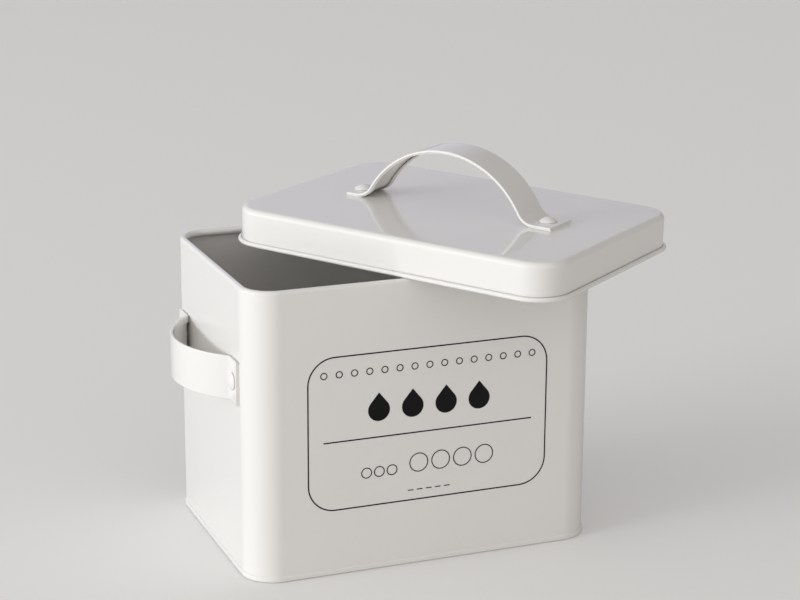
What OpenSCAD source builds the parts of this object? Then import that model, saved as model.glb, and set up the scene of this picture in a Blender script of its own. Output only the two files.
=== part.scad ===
/* [Body] */
// Width of the body, left wall to right wall, outside
body_w = 220; // [180:1:260]
// Depth of the body, front wall to back wall, outside
body_d = 156; // [150:1:200]
// Height of the body, table to the top of the rim
body_h = 177; // [140:1:230]
// Outer radius of the upright corners
corner_r = 19.5; // [14:0.5:22]
// Thickness of the coated sheet steel of body, base and lid
sheet_t = 0.6; // [0.4:0.05:0.8]
// Radius of the roll that turns the rim inwards
rim_roll_r = 2.2; // [1.6:0.1:3]

/* [Base] */
// How far the base seam stands out of the wall
seam_proud = 1; // [0.8:0.05:1.4]
// Height of the base seam
seam_h = 3.6; // [3:0.1:5]
// How far the base panel lies above the table
base_recess = 2.6; // [2:0.1:4]
// Gap between the wall and each leg of the seam
seam_gap = 0.1; // [0.05:0.05:0.15]

/* [Lid] */
// Gap on each side between the lid's skirt and the body
lid_clearance = 0.7; // [0.4:0.05:1.2]
// Height of the lid, bead to top
lid_h = 22.5; // [18:0.5:30]
// Outer radius of the lid's top edge
lid_edge_r = 3.5; // [2:0.1:5]
// Radius of the bead rolled outwards at the lid's foot
lid_bead_r = 1.4; // [1.1:0.05:1.8]
// Distance of the lid's centre to the right of the body's centre
lid_x = 40.6; // [34:0.2:48]
// Distance of the lid's centre behind the body's centre
lid_y = -15.4; // [-20:0.2:-10]
// Turn of the lid on the rim, in degrees
lid_turn = -54; // [-60:0.5:-48]
// Slope of the lid down its own length, in degrees
lid_slope = 1.4; // [0:0.1:2]
// Slope of the lid up across its own depth, in degrees
lid_lean = 0.4; // [0:0.1:1]
// Height left between the lid's bead and the rim where they touch
rest_gap = 0.1; // [0:0.05:0.3]

/* [Straps] */
// Width of the handle straps
strap_w = 26.5; // [22:0.5:30]
// Thickness of the straps' sheet steel
strap_sheet_t = 0.7; // [0.5:0.05:0.8]
// Thickness of the straps where their edges are folded under
strap_t = 2; // [1.8:0.1:2.6]
// Width of the folded edges
fold_w = 4.5; // [3.5:0.1:6]

/* [Lid handle] */
// Distance between the two rivets of the lid's handle
lid_rivet_span = 130.8; // [120:0.2:134]
// Height of the handle's arch over its feet
lid_strap_rise = 35.6; // [30:0.2:40]
// Radius of the bend between arch and foot, underneath
lid_strap_bend_r = 13; // [10:0.5:18]
// Length of flat foot between a rivet's middle and the bend beside it
lid_bend_gap = 3.3; // [2:0.1:5]
// Length of the left foot beyond its rivet's middle
lid_foot_left = 4.8; // [4.8:0.1:9]
// Length of the right foot beyond its rivet's middle
lid_foot_right = 8.5; // [5:0.1:10]

/* [Side handles] */
// Distance between the two rivets of a side handle
side_rivet_span = 103; // [90:0.5:105]
// How far a side handle's arch stands off its feet
side_strap_rise = 20.6; // [17:0.2:22]
// Radius of the bend between arch and foot, on the wall's side
side_strap_bend_r = 4.2; // [3.5:0.1:5]
// Length of flat foot between a rivet's middle and the bend beside it
side_bend_gap = 5.6; // [5.4:0.1:9]
// Length of a side handle's foot beyond its rivet's middle
side_foot = 7.6; // [5:0.1:8]
// Height of the middle of the side handles over the table
side_strap_z = 118.5; // [60:0.5:135]

/* [Rivets] */
// Radius of the rivets' heads
rivet_head_r = 4.8; // [4:0.1:5.2]
// Height of the rivets' heads
rivet_head_h = 2.2; // [1.8:0.1:2.6]
// Height of the upright rim of the heads
rivet_rim_h = 0.6; // [0.3:0.1:0.9]
// Radius of the rivets' shanks
rivet_shank_r = 1.9; // [1.5:0.1:2.2]
// Gap between a shank and its holes
rivet_gap = 0.05; // [0.02:0.01:0.1]
// Radius of the tail formed on the inside
rivet_tail_r = 3; // [2.6:0.1:3.4]
// Height of the tail formed on the inside
rivet_tail_h = 1.2; // [0.8:0.1:1.6]

/* [Front print] */
// Width of the printed frame
frame_w = 152; // [120:1:156]
// Height of the printed frame
frame_h = 94.7; // [90:0.5:104]
// Outer corner radius of the printed frame
frame_r = 17; // [10:0.5:22]
// Width of the frame's line
line_w = 0.8; // [0.5:0.1:1.5]
// Middle of the frame over the table
frame_z = 87.7; // [70:0.5:100]
// Shift of the print to the right of the wall's middle
print_x = 0.6; // [-3:0.2:3]
// Thickness of the ink
ink_t = 0.1; // [0.05:0.01:0.2]
// Distance from the frame's outside to the ends of the dividing line
divider_inset = 9.8; // [6:0.2:20]
// How far the dividing line lies below the frame's middle
divider_drop = 4.8; // [2:0.2:7]
// Height of the bold drops
drop_h = 17.5; // [15:0.5:19]
// Radius of the bold drops' round ends
drop_r = 6.8; // [5:0.1:7]
// Number of bold drops
drop_count = 4; // [2:1:4]
// Spacing of the bold drops
drop_pitch = 21.2; // [16:0.2:24]
// Height of the drops' middle over the dividing line
drop_z = 18.6; // [15:0.2:22]
// Number of small rings in the top row
ring_count = 15; // [9:2:15]
// Distance from the frame's outside to the ends of the top row
ring_inset = 8; // [6:0.2:16]
// Radius of the small rings in the top row
ring_r = 2.2; // [1.6:0.1:2.8]
// Height of the top row over the dividing line
ring_z = 41; // [36:0.2:42]
// Width of the thin lines of rings, bubbles and dashes
fine_line_w = 0.6; // [0.4:0.1:0.8]
// Number of large bubbles under the dividing line
bubble_count = 4; // [2:1:4]
// Radius of the large bubbles
bubble_r = 6; // [4:0.1:6.6]
// Spacing of the large bubbles
bubble_pitch = 14; // [13.4:0.2:15]
// Middle of the row of large bubbles, right of the print's middle
bubble_x = 14.5; // [12:0.5:16]
// Number of small bubbles to the left of the large ones
small_bubble_count = 3; // [1:1:3]
// Radius of the small bubbles
small_bubble_r = 3.4; // [2:0.1:3.6]
// Spacing of the small bubbles
small_bubble_pitch = 8; // [7.6:0.2:8.4]
// Middle of the row of small bubbles, left of the print's middle
small_bubble_x = 31.5; // [30:0.5:34]
// Depth of the bubbles' lowest points below the dividing line
bubble_foot = 25; // [22:0.5:28]
// Number of short dashes at the foot
dash_count = 5; // [3:2:7]
// Length of a dash
dash_l = 3.6; // [2:0.1:4.4]
// Spacing of the dashes
dash_pitch = 5.8; // [5:0.1:7]
// Depth of the dashes below the dividing line
dash_z = 36; // [32:0.2:38]

/* [Hidden] */
$fn = 72;
coat = [0.93, 0.925, 0.91];
ink = [0.06, 0.06, 0.07];

// the seam wraps the wall's foot with a leg on each side
seam_leg_t = seam_proud - seam_gap;
seam_inner_w = 2 * sheet_t + seam_gap;
base_top = base_recess + sheet_t;

// degrees of roll before its slit
rim_roll_sweep = 300;
lid_bead_sweep = 285;

lid_w = body_w + 2 * (lid_clearance + sheet_t);
lid_d = body_d + 2 * (lid_clearance + sheet_t);
lid_corner_r = corner_r + lid_clearance + sheet_t;
lid_bead_out = lid_bead_r - sheet_t;

// places along the lid's own length where its bead crosses the rim, in front and at the right
lid_reach = lid_d / 2 + lid_bead_out;
front_touch = (lid_reach * cos(lid_turn) - lid_y - body_d / 2 + rim_roll_r) / sin(lid_turn);
right_touch = (lid_reach * sin(lid_turn) - lid_x + body_w / 2 - rim_roll_r) / cos(lid_turn);
lean_drop = lid_reach * tan(lid_lean);
lid_z = body_h + rest_gap
    + max(front_touch * tan(lid_slope) + lean_drop, right_touch * tan(lid_slope) - lean_drop);

// room between a rivet's head and the bend it lies against
seat_gap = 0.05;
// how far a cutter reaches past the faces it cuts
cut_past = 1;
fold_r = strap_t / 2;
strap_flat_w = strap_w - 2 * fold_r;
hole_r = rivet_shank_r + rivet_gap;
divider_z = frame_z - divider_drop;
divider_l = frame_w - 2 * divider_inset;
ring_pitch = (frame_w - 2 * ring_inset - 2 * ring_r) / (ring_count - 1);
lid_rivet_x = lid_rivet_span / 2;
side_rivet_y = side_rivet_span / 2;

// inner radius of an arch that rises so high between two bends, kept to a hundredth
function arch_radius(span, rise, bend_r) =
    round(100 * ((span * span / 4 + rise * rise) / (2 * rise) - bend_r)) / 100;
// the arch and the bend touch where both have turned by the same angle, kept to a hundredth
function bend_angle(rise, arch_r, bend_r) = round(100 * acos(1 - rise / (arch_r + bend_r))) / 100;
function foot_start(rise, arch_r, bend_r) =
    (arch_r + bend_r) * sin(bend_angle(rise, arch_r, bend_r));

// a section carried round a rounded rectangle; its x counts from the centre of the corners
module carried_round(w, d, r) {
    for (quarter = [0:3]) {
        run = quarter % 2 == 0 ? d - 2 * r : w - 2 * r;
        reach = quarter % 2 == 0 ? w / 2 - r : d / 2 - r;
        rotate([0, 0, 90 * quarter]) translate([reach, run / 2, 0]) {
            rotate([90, 0, 0]) linear_extrude(run) children();
            rotate_extrude(angle = 90) children();
        }
    }
}

module rounded_outline(w, d, r) {
    square([w - 2 * r, d], center = true);
    square([w, d - 2 * r], center = true);
    for (x = [-1, 1], y = [-1, 1])
        translate([x * (w / 2 - r), y * (d / 2 - r)]) circle(r);
}

// sheet rolled into a ring, from one angle over a sweep of more than 180 degrees
module rolled_section(outer_r, from, sweep) {
    slit = 360 - sweep;
    far = 2 * outer_r;
    difference() {
        circle(outer_r);
        circle(outer_r - sheet_t);
        polygon([[0, 0], for (part = [0:2])
            let (a = from + sweep + part * slit / 2) [far * cos(a), far * sin(a)]]);
    }
}

// a cap of a ball, flat side on the x axis
module cap_section(r, h) {
    ball_r = (r * r + h * h) / (2 * h);
    intersection() {
        translate([0, h - ball_r]) circle(ball_r);
        square([r, h]);
    }
}

// a rivet through the strap's foot and the sheet under it; z is 0 on the strap
module rivet_head() {
    rotate_extrude() {
        square([rivet_head_r, rivet_rim_h]);
        translate([0, rivet_rim_h]) cap_section(rivet_head_r, rivet_head_h - rivet_rim_h);
    }
}

module rivet_shank() {
    grip = strap_t + sheet_t;
    rotate_extrude() {
        translate([0, -grip - rivet_tail_h / 2])
            square([rivet_shank_r, grip + rivet_tail_h / 2 + rivet_head_h / 2]);
        translate([0, -grip]) mirror([0, 1]) cap_section(rivet_tail_r, rivet_tail_h);
    }
}

// the strap's section: x is height over the seat, y runs across the strap
module strap_section() {
    translate([strap_t - strap_sheet_t, -strap_flat_w / 2]) square([strap_sheet_t, strap_flat_w]);
    for (side = [0, 1]) mirror([0, side]) {
        translate([0, strap_w / 2 - fold_w]) square([strap_sheet_t, fold_w - fold_r]);
        translate([fold_r, strap_flat_w / 2]) intersection() {
            difference() {
                circle(fold_r);
                circle(fold_r - strap_sheet_t);
            }
            translate([-fold_r, 0]) square([strap_t, fold_r]);
        }
    }
}

// a move in a coarse and a fine step, so that faces that are to meet do so to the last digit
module moved(x, y) {
    coarse = [round(1000 * x) / 1000, round(1000 * y) / 1000];
    translate(coarse) translate([x, y] - coarse) children();
}

// a bowed strap along x, standing up along y, its width along z; feet holds the lengths of the
// left and the right foot beyond their rivets
module strap(rivet_at, bend_gap, rise, bend_r, feet) {
    arch_r = arch_radius(2 * (rivet_at - bend_gap), rise, bend_r);
    turn = bend_angle(rise, arch_r, bend_r);
    start = foot_start(rise, arch_r, bend_r);
    difference() {
        union() {
            moved(0, bend_r - (arch_r + bend_r) * cos(turn))
                rotate_extrude(angle = 2 * turn, start = 90 - turn)
                translate([arch_r, 0]) strap_section();
            for (side = [0, 1]) mirror([1 - side, 0, 0]) {
                moved(start, bend_r) rotate_extrude(angle = turn, start = 270 - turn)
                    translate([bend_r, 0]) mirror([1, 0]) strap_section();
                moved(start, 0) rotate([90, 0, 90])
                    linear_extrude(rivet_at + feet[side] - start) strap_section();
            }
        }
        for (x = [-rivet_at, rivet_at])
            translate([x, strap_t + cut_past, 0]) rotate([90, 0, 0])
                cylinder(h = strap_t + 2 * cut_past, r = hole_r);
    }
}

module lid_strap() {
    strap(lid_rivet_x, lid_bend_gap, lid_strap_rise, lid_strap_bend_r,
        [lid_foot_left, lid_foot_right]);
}

module side_strap() {
    strap(side_rivet_y, side_bend_gap, side_strap_rise, side_strap_bend_r,
        [side_foot, side_foot]);
}

// the lid's own frame, z is 0 under its bead
module on_rim() {
    translate([lid_x, lid_y, lid_z]) rotate([lid_lean, lid_slope, lid_turn]) children();
}

// a side wall's frame: x along the wall, y out of it; side is -1 at the left and 1 at the right
module on_wall(side) {
    translate([side * body_w / 2, 0, side_strap_z]) rotate([0, 0, -90 * side]) children();
}

// the front wall's frame: x to the right, y up, z out of the wall
module on_front() {
    translate([print_x, -body_d / 2, 0]) rotate([90, 0, 0]) linear_extrude(ink_t) children();
}

// evenly spaced copies along x about the middle
module row_of(count, pitch) {
    for (place = [0 : count - 1])
        translate([(place - (count - 1) / 2) * pitch, 0]) children();
}

module ring_outline(r) {
    difference() {
        circle(r);
        circle(r - fine_line_w);
    }
}

module body_shell() {
    wall_top = body_h - rim_roll_r;
    color(coat) difference() {
        carried_round(body_w, body_d, corner_r) {
            translate([corner_r - sheet_t, sheet_t]) square([sheet_t, wall_top - sheet_t]);
            translate([corner_r - rim_roll_r, wall_top]) rolled_section(rim_roll_r, 0, rim_roll_sweep);
        }
        for (side = [-1, 1], x = [-side_rivet_y, side_rivet_y])
            on_wall(side) translate([x, cut_past, 0]) rotate([90, 0, 0])
                cylinder(h = sheet_t + 2 * cut_past, r = hole_r);
    }
}

module base_panel() {
    panel_in = sheet_t + seam_gap;
    color(coat) {
        carried_round(body_w, body_d, corner_r) {
            // floor of the seam, its inner leg and its outer leg with a round top
            translate([corner_r - seam_inner_w, 0]) square([seam_inner_w + seam_proud, sheet_t]);
            translate([corner_r - seam_inner_w, 0]) square([sheet_t, base_top]);
            translate([corner_r + seam_gap, 0]) square([seam_leg_t, seam_h - seam_leg_t / 2]);
            translate([corner_r + seam_gap + seam_leg_t / 2, seam_h - seam_leg_t / 2])
                circle(seam_leg_t / 2);
        }
        translate([0, 0, base_recess]) linear_extrude(sheet_t)
            rounded_outline(body_w - 2 * panel_in, body_d - 2 * panel_in, corner_r - panel_in);
    }
}

module lid_shell() {
    skirt_top = lid_h - lid_edge_r;
    color(coat) on_rim() difference() {
        union() {
            carried_round(lid_w, lid_d, lid_corner_r) {
                translate([lid_corner_r - sheet_t, lid_bead_r])
                    square([sheet_t, skirt_top - lid_bead_r]);
                translate([lid_corner_r + lid_bead_out, lid_bead_r])
                    rolled_section(lid_bead_r, 180, lid_bead_sweep);
                translate([lid_corner_r - lid_edge_r, skirt_top]) intersection() {
                    difference() {
                        circle(lid_edge_r);
                        circle(lid_edge_r - sheet_t);
                    }
                    square(lid_edge_r);
                }
            }
            translate([0, 0, lid_h - sheet_t]) linear_extrude(sheet_t)
                rounded_outline(lid_w - 2 * lid_edge_r, lid_d - 2 * lid_edge_r, lid_corner_r - lid_edge_r);
        }
        for (x = [-lid_rivet_x, lid_rivet_x])
            translate([x, 0, lid_h - sheet_t - cut_past]) cylinder(h = sheet_t + 2 * cut_past, r = hole_r);
    }
}

module lid_handle() {
    color(coat) on_rim() translate([0, 0, lid_h]) rotate([90, 0, 0]) lid_strap();
}

// the head is formed against the strap, so its inner side follows the strap's bend
module lid_rivet(side) {
    arch_r = arch_radius(2 * (lid_rivet_x - lid_bend_gap), lid_strap_rise, lid_strap_bend_r);
    bend_at = foot_start(lid_strap_rise, arch_r, lid_strap_bend_r) - lid_rivet_x;
    color(coat) on_rim() mirror([side < 0 ? 1 : 0, 0, 0])
    translate([lid_rivet_x, 0, lid_h + strap_t]) {
        rivet_shank();
        difference() {
            rivet_head();
            difference() {
                translate([-2 * rivet_head_r, -rivet_head_r, -cut_past])
                    cube([2 * rivet_head_r + bend_at, 2 * rivet_head_r, rivet_head_h + 2 * cut_past]);
                translate([bend_at, 0, lid_strap_bend_r - strap_t]) rotate([90, 0, 0])
                    cylinder(h = 3 * rivet_head_r, r = lid_strap_bend_r - strap_t - seat_gap, center = true);
            }
        }
    }
}

module side_handle(side) {
    color(coat) on_wall(side) side_strap();
}

// end is -1 for the front rivet and 1 for the back one
module side_rivet(side, end) {
    color(coat) on_wall(side) translate([-side * end * side_rivet_y, strap_t, 0])
        rotate([-90, 0, 0]) {
            rivet_head();
            rivet_shank();
        }
}

module print_frame() {
    color(ink) on_front() translate([0, frame_z]) difference() {
        rounded_outline(frame_w, frame_h, frame_r);
        rounded_outline(frame_w - 2 * line_w, frame_h - 2 * line_w, frame_r - line_w);
    }
}

module print_divider() {
    color(ink) on_front() translate([0, divider_z]) square([divider_l, line_w], center = true);
}

module drop() {
    tip = drop_h - drop_r;
    side_angle = acos(drop_r / tip);
    circle(drop_r);
    polygon([[0, 0], [drop_r * sin(side_angle), drop_r * cos(side_angle)], [0, tip],
        [-drop_r * sin(side_angle), drop_r * cos(side_angle)]]);
}

module print_drops() {
    color(ink) on_front() translate([0, divider_z + drop_z - drop_h / 2 + drop_r])
        row_of(drop_count, drop_pitch) drop();
}

module print_rings() {
    color(ink) on_front() translate([0, divider_z + ring_z])
        row_of(ring_count, ring_pitch) ring_outline(ring_r);
}

module print_bubbles() {
    color(ink) on_front() translate([0, divider_z - bubble_foot]) {
        translate([bubble_x, bubble_r]) row_of(bubble_count, bubble_pitch) ring_outline(bubble_r);
        translate([-small_bubble_x, small_bubble_r])
            row_of(small_bubble_count, small_bubble_pitch) ring_outline(small_bubble_r);
    }
}

module print_dashes() {
    color(ink) on_front() translate([0, divider_z - dash_z])
        row_of(dash_count, dash_pitch) square([dash_l, fine_line_w], center = true);
}

body_shell();
base_panel();
lid_shell();
lid_handle();
lid_rivet(-1);  // lid_rivet_left
lid_rivet(1);  // lid_rivet_right
side_handle(-1);  // left_handle
side_rivet(-1, -1);  // left_rivet_front
side_rivet(-1, 1);  // left_rivet_back
side_handle(1);  // right_handle
side_rivet(1, -1);  // right_rivet_front
side_rivet(1, 1);  // right_rivet_back
print_frame();
print_divider();
print_drops();
print_rings();
print_bubbles();
print_dashes();
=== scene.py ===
import math

import bmesh
import bpy
import numpy as np
from mathutils import Euler, Matrix, Vector


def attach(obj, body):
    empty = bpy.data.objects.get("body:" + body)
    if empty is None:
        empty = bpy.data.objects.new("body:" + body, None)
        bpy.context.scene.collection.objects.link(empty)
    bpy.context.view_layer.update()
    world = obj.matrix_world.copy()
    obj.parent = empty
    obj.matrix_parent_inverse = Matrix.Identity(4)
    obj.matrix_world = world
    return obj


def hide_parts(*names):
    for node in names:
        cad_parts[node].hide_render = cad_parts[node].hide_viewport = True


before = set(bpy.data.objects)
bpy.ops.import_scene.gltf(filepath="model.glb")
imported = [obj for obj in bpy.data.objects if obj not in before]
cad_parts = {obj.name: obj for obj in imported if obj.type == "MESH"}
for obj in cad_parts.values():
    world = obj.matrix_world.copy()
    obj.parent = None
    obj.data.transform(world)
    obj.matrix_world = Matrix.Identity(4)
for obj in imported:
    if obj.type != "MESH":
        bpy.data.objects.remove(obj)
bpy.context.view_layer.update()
scene = bpy.context.scene
print("frame loaded:", len(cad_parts), "nodes")


mesher = {
    "sharpAngle": 32,      # degrees; an edge bent by more than this is shaded sharp
    "weldDistance": 0.000002,
}


def meshFromGrid(name, points, roundClosed=True, profileClosed=True, capped=False):
    # points[u, v] is a surface of two parameters; each face joins (u, v), (u + 1, v), (u + 1, v + 1)
    # and (u, v + 1)
    countU, countV = points.shape[:2]
    ids = np.arange(countU * countV).reshape(countU, countV)
    nextU = np.roll(ids, -1, 0)
    if not roundClosed:
        ids, nextU = ids[:-1], nextU[:-1]
    faces = np.stack([ids, nextU, np.roll(nextU, -1, 1), np.roll(ids, -1, 1)], -1)
    if not profileClosed:
        faces = faces[:, :-1]
    faces = [tuple(face) for face in faces.reshape(-1, 4).tolist()]
    if capped:
        first = list(range(countV))
        last = [(countU - 1) * countV + v for v in first]
        faces += [tuple(first), tuple(reversed(last))]
    mesh = bpy.data.meshes.new(name)
    mesh.from_pydata(points.reshape(-1, 3).tolist(), [], faces)
    # closes the poles, where a whole row of points falls together
    welded = bmesh.new()
    welded.from_mesh(mesh)
    bmesh.ops.remove_doubles(welded, verts=welded.verts, dist=mesher["weldDistance"])
    welded.to_mesh(mesh)
    welded.free()
    mesh.shade_smooth()
    mesh.set_sharp_from_angle(angle=math.radians(mesher["sharpAngle"]))
    piece = bpy.data.objects.new(name, mesh)
    scene.collection.objects.link(piece)
    return piece


def roundedOutline(width, depth, radius, steps):
    # corner centre + radius * (cos a, sin a), a over a quarter turn at each corner; also gives
    # (cos a, sin a), the way outward
    corners = np.array([[1, 1], [-1, 1], [-1, -1], [1, -1]])
    quarter = 0.5 * np.pi
    angle = (np.linspace(0, quarter, steps + 1) + quarter * np.arange(len(corners))[:, None]).ravel()
    outward = np.stack([np.cos(angle), np.sin(angle)], 1)
    corner = np.repeat(corners, steps + 1, 0)
    centre = corner * np.array([0.5 * width - radius, 0.5 * depth - radius])
    return centre + radius * outward, outward


def carriedRound(outline, outward, profile):
    # point(u, v) = shrink(v) * (outline(u) + out(v) * outward(u)), at height(v)
    out, height, shrink = profile.T
    flat = shrink[None, :, None] * (outline[:, None] + out[None, :, None] * outward[:, None])
    return np.dstack([flat, np.broadcast_to(height, flat.shape[:2])])


def arc(centre, radius, start, end, steps):
    # centre + radius * (cos a, sin a), a from start to end in degrees
    angle = np.radians(np.linspace(start, end, steps + 1))
    return np.stack([centre[0] + radius * np.cos(angle), centre[1] + radius * np.sin(angle)], 1)


def wholeSize(profile):
    # a third column of ones: these points of a profile aren't drawn in towards the middle
    return np.column_stack([profile, np.ones(len(profile))])


def towardsMiddle(out, height, shrinks):
    # one point of a profile repeated at smaller and smaller sizes
    return np.array([[out, height, shrink] for shrink in shrinks])


def placed(points, matrix):
    # matrix * (along, across, up)
    turned = np.array(matrix.to_3x3())
    return points @ turned.T + np.array(matrix.translation)


def finished(piece, node, material):
    piece.data.materials.append(material)
    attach(piece, "root")
    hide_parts(node)
    return piece


def coatMaterial(name, look):
    # noise of three sizes: wide clouds in colour and roughness, orange peel and fine grain as bump
    material = bpy.data.materials.new(name)
    material.use_nodes = True
    nodes, links = material.node_tree.nodes, material.node_tree.links
    shader = nodes["Principled BSDF"]
    place = nodes.new("ShaderNodeTexCoord")

    def noise(scale, detail):
        node = nodes.new("ShaderNodeTexNoise")
        node.inputs["Scale"].default_value = scale
        node.inputs["Detail"].default_value = detail
        links.new(place.outputs["Object"], node.inputs["Vector"])
        return node

    def ramp(source, low, high):
        node = nodes.new("ShaderNodeMapRange")
        node.interpolation_type = "SMOOTHSTEP"
        node.inputs["To Min"].default_value = low
        node.inputs["To Max"].default_value = high
        links.new(source.outputs["Fac"], node.inputs["Value"])
        return node

    clouds = noise(look["cloudScale"], detail=3)
    peel = noise(look["peelScale"], detail=2)
    grain = noise(look["grainScale"], detail=1)

    tint = nodes.new("ShaderNodeMix")
    tint.data_type = "RGBA"
    tint.inputs["A"].default_value = (*look["color"], 1)
    tint.inputs["B"].default_value = (*look["cloudColor"], 1)
    links.new(ramp(clouds, low=0, high=1).outputs["Result"], tint.inputs["Factor"])
    links.new(tint.outputs["Result"], shader.inputs["Base Color"])
    smoother = look["roughness"] - look["roughnessSpread"]
    rougher = look["roughness"] + look["roughnessSpread"]
    links.new(ramp(clouds, smoother, rougher).outputs["Result"], shader.inputs["Roughness"])

    shader.inputs["Specular IOR Level"].default_value = look["specular"]
    shader.inputs["Coat Weight"].default_value = look["coat"]
    shader.inputs["Coat Roughness"].default_value = look["coatRoughness"]
    lower = None
    for source, depth in ((peel, look["peelDepth"]), (grain, look["grainDepth"])):
        bump = nodes.new("ShaderNodeBump")
        bump.inputs["Strength"].default_value = 1
        bump.inputs["Distance"].default_value = depth
        links.new(source.outputs["Fac"], bump.inputs["Height"])
        if lower:
            links.new(lower.outputs["Normal"], bump.inputs["Normal"])
        lower = bump
    links.new(lower.outputs["Normal"], shader.inputs["Normal"])
    return material


powderCoat = {
    "color": (0.875, 0.865, 0.845),
    "cloudColor": (0.86, 0.849, 0.827),     # the colour wanders to this one in the clouds
    "cloudScale": 14,
    "roughness": 0.34,
    "roughnessSpread": 0.03,
    "peelScale": 380,      # orange peel about 2.5 mm wide
    "peelDepth": 0.000005,
    "grainScale": 2600,
    "grainDepth": 0.0000006,
    "specular": 0.5,
    "coat": 1.0,
    "coatRoughness": 0.045,
}
inkLook = {
    "color": (0.005, 0.005, 0.006),
    "cloudColor": (0.008, 0.008, 0.009),
    "cloudScale": 60,
    "roughness": 0.42,
    "roughnessSpread": 0.05,
    "peelScale": 900,
    "peelDepth": 0.000004,
    "grainScale": 4000,
    "grainDepth": 0.000002,
    "specular": 0.15,
    "coat": 0.0,
    "coatRoughness": 0.1,
}
bodyCoat = coatMaterial("bodyCoat", powderCoat)
# the lid mirrors its handle more sharply
lidCoat = coatMaterial("lidCoat", {**powderCoat, "coatRoughness": 0.02, "peelDepth": 0.0000025})
strapCoat = coatMaterial("strapCoat", {**powderCoat, "cloudScale": 9, "roughness": 0.3})
rivetCoat = coatMaterial("rivetCoat", {**powderCoat, "cloudScale": 60, "roughness": 0.26})
ink = coatMaterial("printInk", inkLook)
print("finishes made")


body = {
    "width": 0.220,
    "depth": 0.156,
    "height": 0.177,
    "cornerRadius": 0.0195,
    "sheet": 0.0006,
    "rimRadius": 0.0022,
    "rimSweep": 300,
    "cornerSteps": 24,
    "rimSteps": 30,
}
wallTop = body["height"] - body["rimRadius"]
rimCentre = (-body["rimRadius"], wallTop)
bodyOutline = roundedOutline(body["width"], body["depth"], body["cornerRadius"], body["cornerSteps"])

# up the outer face, round the rolled rim and back inside the roll, down the inner face
shellProfile = wholeSize(np.concatenate([
    [[0, body["sheet"]]],
    arc(rimCentre, body["rimRadius"], 0, body["rimSweep"], body["rimSteps"]),
    arc(rimCentre, body["rimRadius"] - body["sheet"], body["rimSweep"], 0, body["rimSteps"]),
    [[-body["sheet"], body["sheet"]]],
]))
shell = meshFromGrid("bodyShell", carriedRound(*bodyOutline, shellProfile))
finished(shell, "body_shell", bodyCoat)

base = {
    "proud": 0.0006,       # how far the seam stands out of the wall
    "gap": 0.0001,
    "seamHeight": 0.0036,
    "recess": 0.0026,      # panel over the table
    "footRadius": 0.0004,
    "footGap": 0.0005,     # its outer edge is this far over the table
    "footIn": 0.001,
    "footSteps": 6,
    "shoulderSteps": 8,
    "shrinks": (0.97, 0.6, 0.2, 0),    # sizes of the panel's rings of points, down to its middle
}
wallInside = -body["sheet"] - base["gap"]
seamInside = wallInside - body["sheet"]
panelTop = base["recess"] + body["sheet"]
footCentre = (base["proud"] - base["footRadius"], base["footGap"] + base["footRadius"])
shoulderCentre = (0, base["seamHeight"] - base["proud"])

# from the middle of the underside out, down the inside of the seam, round its foot, up and over it,
# in under the wall, and over the panel's top
trayProfile = np.concatenate([
    towardsMiddle(seamInside, base["recess"], base["shrinks"][::-1]),
    wholeSize(np.concatenate([
        [[seamInside, base["recess"]], [seamInside, 0],
         [-base["footIn"], 0], [-base["footIn"], base["footGap"]]],
        arc(footCentre, base["footRadius"], -90, 0, base["footSteps"]),
        arc(shoulderCentre, base["proud"], 0, 90, base["shoulderSteps"]),
        [[-base["gap"], base["seamHeight"]], [-base["gap"], body["sheet"]],
         [wallInside, body["sheet"]], [wallInside, panelTop]],
    ])),
    towardsMiddle(seamInside, panelTop, base["shrinks"]),
])
tray = meshFromGrid("basePanel", carriedRound(*bodyOutline, trayProfile), profileClosed=False)
finished(tray, "base_panel", bodyCoat)
print("body made")


lid = {
    "clearance": 0.0007,
    "height": 0.0225,
    "edgeRadius": 0.0034,
    "beadRadius": 0.0014,
    "beadSweep": 290,
    "groove": (0.0023, 0.003, 0.0004),     # from this height to that, just over the bead, and this deep
    "across": 0.0406,      # its middle from the body's middle
    "along": -0.0154,
    "turn": -54,           # degrees, as it lies across the rim
    "slope": 1.4,
    "lean": 0.4,
    "restGap": 0.0001,
    "edgeSteps": 12,
    "beadSteps": 26,
    "shrinks": (0.96, 0.8, 0.5, 0.2, 0),
}
skirtTop = lid["height"] - lid["edgeRadius"]
lidGrowth = lid["clearance"] + body["sheet"]
lidOutline = roundedOutline(body["width"] + 2 * lidGrowth, body["depth"] + 2 * lidGrowth,
                            body["cornerRadius"] + lidGrowth, body["cornerSteps"])
lean, slope, turn = (math.radians(lid[angle]) for angle in ("lean", "slope", "turn"))

# the bead touches the rim in front; frontCross is how far along the lid that is
beadReach = 0.5 * body["depth"] + lidGrowth + lid["beadRadius"] - body["sheet"]
frontRim = body["rimRadius"] - 0.5 * body["depth"]
frontCross = (beadReach * math.cos(turn) - lid["along"] + frontRim) / math.sin(turn)
lidFoot = body["height"] + lid["restGap"] + frontCross * math.tan(slope) + beadReach * math.tan(lean)
lidPlace = Matrix.Translation((lid["across"], lid["along"], lidFoot))
onRim = lidPlace @ Euler((lean, slope, turn)).to_matrix().to_4x4()
grooveLow, grooveHigh, grooveDepth = lid["groove"]
edgeCentre = (-lid["edgeRadius"], skirtTop)
beadCentre = (lid["beadRadius"] - body["sheet"], lid["beadRadius"])

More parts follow.
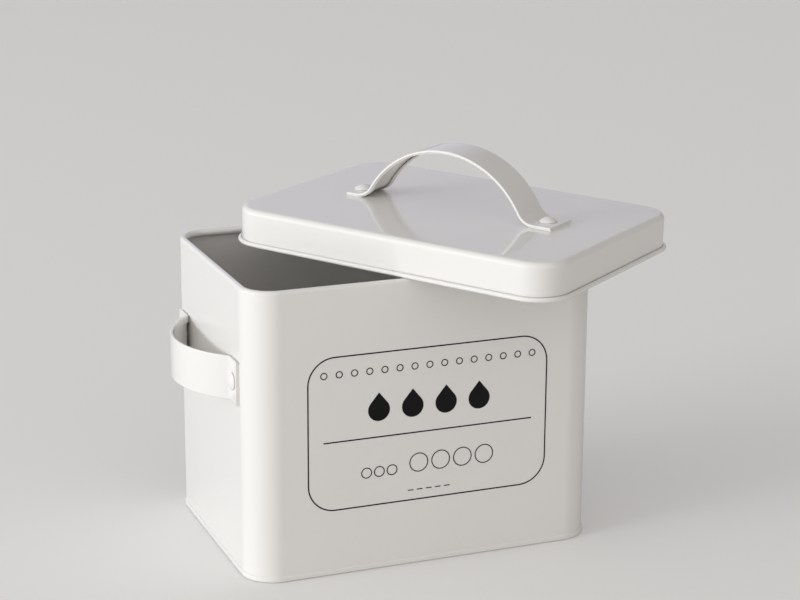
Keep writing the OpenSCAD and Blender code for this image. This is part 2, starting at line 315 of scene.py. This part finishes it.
# from the middle of the underside out, down the skirt, round the bead, up the skirt and over the top
lidProfile = np.concatenate([
    towardsMiddle(-lid["edgeRadius"], lid["height"] - body["sheet"], lid["shrinks"][::-1]),
    wholeSize(np.concatenate([
        arc(edgeCentre, lid["edgeRadius"] - body["sheet"], 90, 0, lid["edgeSteps"]),
        arc(beadCentre, lid["beadRadius"], 180, 180 + lid["beadSweep"], lid["beadSteps"]),
        arc(beadCentre, lid["beadRadius"] - body["sheet"], 180 + lid["beadSweep"], 180, lid["beadSteps"]),
        [[0, grooveLow], [-grooveDepth, grooveLow], [-grooveDepth, grooveHigh], [0, grooveHigh]],
        arc(edgeCentre, lid["edgeRadius"], 0, 90, lid["edgeSteps"]),
    ])),
    towardsMiddle(-lid["edgeRadius"], lid["height"], lid["shrinks"]),
])
cap = meshFromGrid("lidShell", placed(carriedRound(*lidOutline, lidProfile), onRim), profileClosed=False)
finished(cap, "lid_shell", lidCoat)
print("lid made")


strap = {
    "width": 0.0265,
    "thickness": 0.002,    # over the folded edges
    "sheet": 0.0007,
    "foldWidth": 0.0045,
    "foldSteps": 8,
    "foldPower": 0.8,      # 1 is round, less is squarer
    "undercutHeight": 0.0005,
    "undercut": 0.001,    # how far the fold draws in below that height
    "endWall": 0.0007,     # closes the hollow at each end
}


def foldEdge():
    # (height, place across) over the fold at the left: centre + radius * (cos a, sin a), with each raised
    # to a power below 1, down to the undercut, and then in under it
    low, high = strap["undercutHeight"], strap["thickness"]
    radius = 0.5 * (high - low)
    angle = np.linspace(0, np.pi, 2 * strap["foldSteps"] + 1)
    around = np.stack([np.cos(angle), np.sin(angle)], 1)
    around = np.sign(around) * np.abs(around) ** strap["foldPower"]
    edge = np.array([low + radius, 0.5 * strap["width"] - radius]) + radius * around
    drawnIn = 0.5 * strap["width"] - strap["undercut"]
    return np.concatenate([edge, [[low, drawnIn], [0, drawnIn]]])


def strapSection(hollow):
    # (height over the seat, place across): over the top, round one fold, back underneath, round the other;
    # without its hollow, every inner height is pressed down to the seat
    foldEnd = 0.5 * strap["width"] - strap["foldWidth"]
    inner = 0.5 * strap["thickness"] - strap["sheet"]
    turnAt = 0.5 * strap["width"] - strap["undercut"] - strap["sheet"] - inner
    inside = np.concatenate([
        [[strap["sheet"], foldEnd]],
        arc((0.5 * strap["thickness"], turnAt), inner, 180, 0, strap["foldSteps"]),
        arc((0.5 * strap["thickness"], -turnAt), inner, 0, -180, strap["foldSteps"]),
        [[strap["sheet"], -foldEnd]],
    ])
    if not hollow:
        across = np.linspace(foldEnd, -foldEnd, len(inside) + 2)[1:-1]
        inside = np.stack([np.zeros(len(inside)), across], 1)
    left = foldEdge()
    right = left[::-1] * np.array([1, -1])
    return np.concatenate([left, [[0, foldEnd]], inside, [[0, -foldEnd]], right])


def strapStations(look):
    # flat foot, bend, arch, bend, flat foot; each row is (along, up, lean of the strap's upward direction)
    start = look["rivetAt"] - look["bendGap"]
    reach = 0.5 * (start ** 2 + look["rise"] ** 2) / look["rise"]
    archRadius, turned = reach - look["bendRadius"], math.asin(start / reach)
    bend = np.linspace(0, turned, look["bendSteps"] + 1)
    arch = np.linspace(-turned, turned, look["archSteps"] + 1)[1:-1]
    bendAlong = start - look["bendRadius"] * np.sin(bend)
    bendUp = look["bendRadius"] * (1 - np.cos(bend))
    archUp = look["rise"] - archRadius * (1 - np.cos(arch))
    left = np.stack([-bendAlong, bendUp, -bend], 1)
    right = np.stack([bendAlong, bendUp, bend], 1)[::-1]
    middle = np.stack([archRadius * np.sin(arch), archUp, arch], 1)
    leftEnd, rightEnd = look["rivetAt"] + look["leftFoot"], look["rivetAt"] + look["rightFoot"]
    walls = np.array([0, strap["endWall"], strap["endWall"]])
    leftFoot = np.stack([-leftEnd + walls, 0 * walls, 0 * walls], 1)
    rightFoot = np.stack([rightEnd - walls, 0 * walls, 0 * walls], 1)[::-1]
    return np.concatenate([leftFoot, left, middle, right, rightFoot])


def sweptStrap(look):
    # station(u) + height(u, v) * (sin lean, cos lean), and the place across from the section;
    # the first two and the last two stations have no hollow
    along, up, lean = strapStations(look).T[:, :, None]
    walled = np.arange(len(along)) < 2
    walled = (walled | walled[::-1])[:, None, None]
    height, across = np.moveaxis(np.where(walled, strapSection(False), strapSection(True)), -1, 0)
    return np.dstack([along + height * np.sin(lean), across, up + height * np.cos(lean)])


lidStrap = {
    "rivetAt": 0.0654,     # from the middle of the handle
    "bendGap": 0.0033,     # from a rivet to the bend beside it
    "rise": 0.0356,
    "bendRadius": 0.013,
    "leftFoot": 0.004,     # beyond the rivet
    "rightFoot": 0.0085,
    "archSteps": 72,
    "bendSteps": 14,
}
sideStrap = {
    "rivetAt": 0.0515,
    "bendGap": 0.0056,
    "rise": 0.0206,
    "bendRadius": 0.0042,
    "leftFoot": 0.0076,
    "rightFoot": 0.0076,
    "archSteps": 64,
    "bendSteps": 10,
    "heightOverTable": 0.1185,
}


def onWall(side):
    # along the wall, up, and out of it; side is -1 at the left and 1 at the right
    axes = Matrix(((0, 0, side), (side, 0, 0), (0, 1, 0))).to_4x4()
    return Matrix.Translation((0.5 * side * body["width"], 0, sideStrap["heightOverTable"])) @ axes


onLid = onRim @ Matrix.Translation((0, 0, lid["height"]))
for name, node, look, place in (
        ("lidHandle", "lid_handle", lidStrap, onLid),
        ("leftHandle", "left_handle", sideStrap, onWall(-1)),
        ("rightHandle", "right_handle", sideStrap, onWall(1))):
    handle = meshFromGrid(name, placed(sweptStrap(look), place), roundClosed=False, capped=True)
    finished(handle, node, strapCoat)
print("straps made")


rivet = {
    "headRadius": 0.0055,
    "headHeight": 0.0028,
    "rimHeight": 0.0007,
    "undercut": 0.0006,    # radius of the rim's rounded lower edge
    "shankRadius": 0.0019,
    "tailRadius": 0.003,
    "tailHeight": 0.0012,
    "steps": 48,
    "capSteps": 12,
    "rimSteps": 6,
}


def capProfile(radius, height, steps):
    # part of a ball: ball radius * (sin a, cos a), lowered so that its edge is at height 0
    ball = (radius ** 2 + height ** 2) / (2 * height)
    angle = np.linspace(math.asin(radius / ball), 0, steps + 1)
    return np.stack([ball * np.sin(angle), height - ball + ball * np.cos(angle)], 1)


def turnedRivet():
    # profile (radius, height) turned about the rivet's axis
    grip = strap["thickness"] + body["sheet"]
    tail = capProfile(rivet["tailRadius"], rivet["tailHeight"], rivet["capSteps"])[::-1]
    dome = capProfile(rivet["headRadius"], rivet["headHeight"] - rivet["rimHeight"], rivet["capSteps"])
    rimIn = rivet["headRadius"] - rivet["undercut"]
    profile = np.concatenate([
        np.stack([tail[:, 0], -grip - tail[:, 1]], 1),
        [[rivet["shankRadius"], -grip], [rivet["shankRadius"], 0], [rimIn, 0]],
        arc((rimIn, rivet["undercut"]), rivet["undercut"], -90, 0, rivet["rimSteps"]),
        dome + np.array([0, rivet["rimHeight"]]),
    ])
    angle = np.linspace(0, 2 * np.pi, rivet["steps"], endpoint=False)[:, None]
    radius, height = profile.T
    return np.dstack([radius * np.cos(angle), radius * np.sin(angle),
                      np.broadcast_to(height, (rivet["steps"], len(height)))])


onStrap = Matrix.Translation((0, 0, strap["thickness"]))
for name, node, place, along in (
        ("lidRivetLeft", "lid_rivet_left", onLid, -lidStrap["rivetAt"]),
        ("lidRivetRight", "lid_rivet_right", onLid, lidStrap["rivetAt"]),
        ("leftRivetFront", "left_rivet_front", onWall(-1), sideStrap["rivetAt"]),
        ("leftRivetBack", "left_rivet_back", onWall(-1), -sideStrap["rivetAt"]),
        ("rightRivetFront", "right_rivet_front", onWall(1), -sideStrap["rivetAt"]),
        ("rightRivetBack", "right_rivet_back", onWall(1), sideStrap["rivetAt"])):
    seat = place @ Matrix.Translation((along, 0, 0)) @ onStrap
    head = meshFromGrid(name, placed(turnedRivet(), seat), profileClosed=False)
    finished(head, node, rivetCoat)
print("rivets made")


# the front print is the frame's own thin bodies, in ink
for node in ("print_frame", "print_divider", "print_drops", "print_rings", "print_bubbles", "print_dashes"):
    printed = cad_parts[node]
    printed.data.materials.clear()
    printed.data.materials.append(ink)
print("print inked")


# the camera that took the photo, fitted to its edges
photoCamera = {
    "place": (-0.44617, -1.15731, 0.49823),
    "yaw": 21.6184,        # degrees to the right of +Y
    "pitch": 16.0193,      # down
    "roll": 0.3240,
    "lens": 94.305,        # millimetres, on a sensor of this width
    "sensorWidth": 36,
}
camera = bpy.data.objects.new("camera", bpy.data.cameras.new("camera"))
camera.data.lens = photoCamera["lens"]
camera.data.sensor_width = photoCamera["sensorWidth"]
camera.location = photoCamera["place"]
camera.rotation_euler = (
    Euler((0, 0, -math.radians(photoCamera["yaw"]))).to_matrix()
    @ Euler((math.radians(90 - photoCamera["pitch"]), 0, 0)).to_matrix()
    @ Euler((0, 0, math.radians(photoCamera["roll"]))).to_matrix()
).to_euler()
scene.collection.objects.link(camera)
scene.camera = camera


table = {
    "size": 14.0,
    "color": (0.8, 0.795, 0.78),
    "roughness": 0.7,
    "specular": 0.2,
    "lift": 0.11,          # light added where only the camera sees it
}
edge = 0.5 * table["size"]
tableMesh = bpy.data.meshes.new("table")
tableCorners = [(-edge, -edge, 0), (edge, -edge, 0), (edge, edge, 0), (-edge, edge, 0)]
tableMesh.from_pydata(tableCorners, [], [(0, 1, 2, 3)])
tableTop = bpy.data.objects.new("table", tableMesh)
scene.collection.objects.link(tableTop)
tableMaterial = bpy.data.materials.new("table")
tableMaterial.use_nodes = True
tableNodes, tableLinks = tableMaterial.node_tree.nodes, tableMaterial.node_tree.links
tableShader = tableNodes["Principled BSDF"]
tableShader.inputs["Base Color"].default_value = (*table["color"], 1)
tableShader.inputs["Roughness"].default_value = table["roughness"]
tableShader.inputs["Specular IOR Level"].default_value = table["specular"]
tableRay = tableNodes.new("ShaderNodeLightPath")
tableLift = tableNodes.new("ShaderNodeMath")
tableLift.operation = "MULTIPLY"
tableLift.inputs[1].default_value = table["lift"]
tableLinks.new(tableRay.outputs["Is Camera Ray"], tableLift.inputs[0])
tableShader.inputs["Emission Color"].default_value = (1, 1, 1, 1)
tableLinks.new(tableLift.outputs["Value"], tableShader.inputs["Emission Strength"])
tableTop.data.materials.append(tableMaterial)

room = {
    "even": (0.275, 0.273, 0.282),     # light from all around
    "sides": (                         # added to it: axis, where it starts, where it is full, colour
        ("X", -0.6, -1, (1.25, 1.28, 1.32)),
        ("Y", 0, -1, (0.441, 0.404, 0.371)),
        ("Y", 0.6, 1, (0.378, 0.35, 0.436)),
        ("Z", 0.3, 1, (0.176, 0.172, 0.147)),
    ),
}
world = bpy.data.worlds.new("room")
scene.world = world
world.use_nodes = True
worldNodes, worldLinks = world.node_tree.nodes, world.node_tree.links
way = worldNodes.new("ShaderNodeTexCoord")
parts = worldNodes.new("ShaderNodeSeparateXYZ")
worldLinks.new(way.outputs["Generated"], parts.inputs["Vector"])
light = None
for axis, start, full, color in room["sides"]:
    side = worldNodes.new("ShaderNodeMapRange")
    side.interpolation_type = "SMOOTHSTEP"
    side.inputs["From Min"].default_value = start
    side.inputs["From Max"].default_value = full
    worldLinks.new(parts.outputs[axis], side.inputs["Value"])
    added = worldNodes.new("ShaderNodeVectorMath")
    added.operation = "MULTIPLY_ADD"
    added.inputs[1].default_value = color
    added.inputs[2].default_value = room["even"]
    worldLinks.new(side.outputs["Result"], added.inputs[0])
    if light:
        worldLinks.new(light.outputs["Vector"], added.inputs[2])
    light = added
worldLinks.new(light.outputs["Vector"], worldNodes["Background"].inputs["Color"])

window = {
    "azimuth": 187,        # degrees; the light comes from the left and low
    "elevation": 11,
    "distance": 4.5,
    "size": (2.0, 0.7),
    "power": 95,
    "color": (0.95, 0.957, 0.958),
}
azimuth, elevation = math.radians(window["azimuth"]), math.radians(window["elevation"])
level = math.cos(elevation)
toWindow = Vector((math.cos(azimuth) * level, math.sin(azimuth) * level, math.sin(elevation)))
lamp = bpy.data.objects.new("window", bpy.data.lights.new("window", "AREA"))
lamp.data.shape = "RECTANGLE"
lamp.data.size, lamp.data.size_y = window["size"]
lamp.data.energy = window["power"]
lamp.data.color = window["color"]
lamp.visible_glossy = False     # the coat mirrors the room, not the window's outline
lamp.location = Vector((0, 0, 0.5 * body["height"])) + window["distance"] * toWindow
lamp.rotation_euler = toWindow.to_track_quat("Z", "Y").to_euler()
scene.collection.objects.link(lamp)

scene.view_settings.view_transform = "Standard"
print("camera, table and light made")
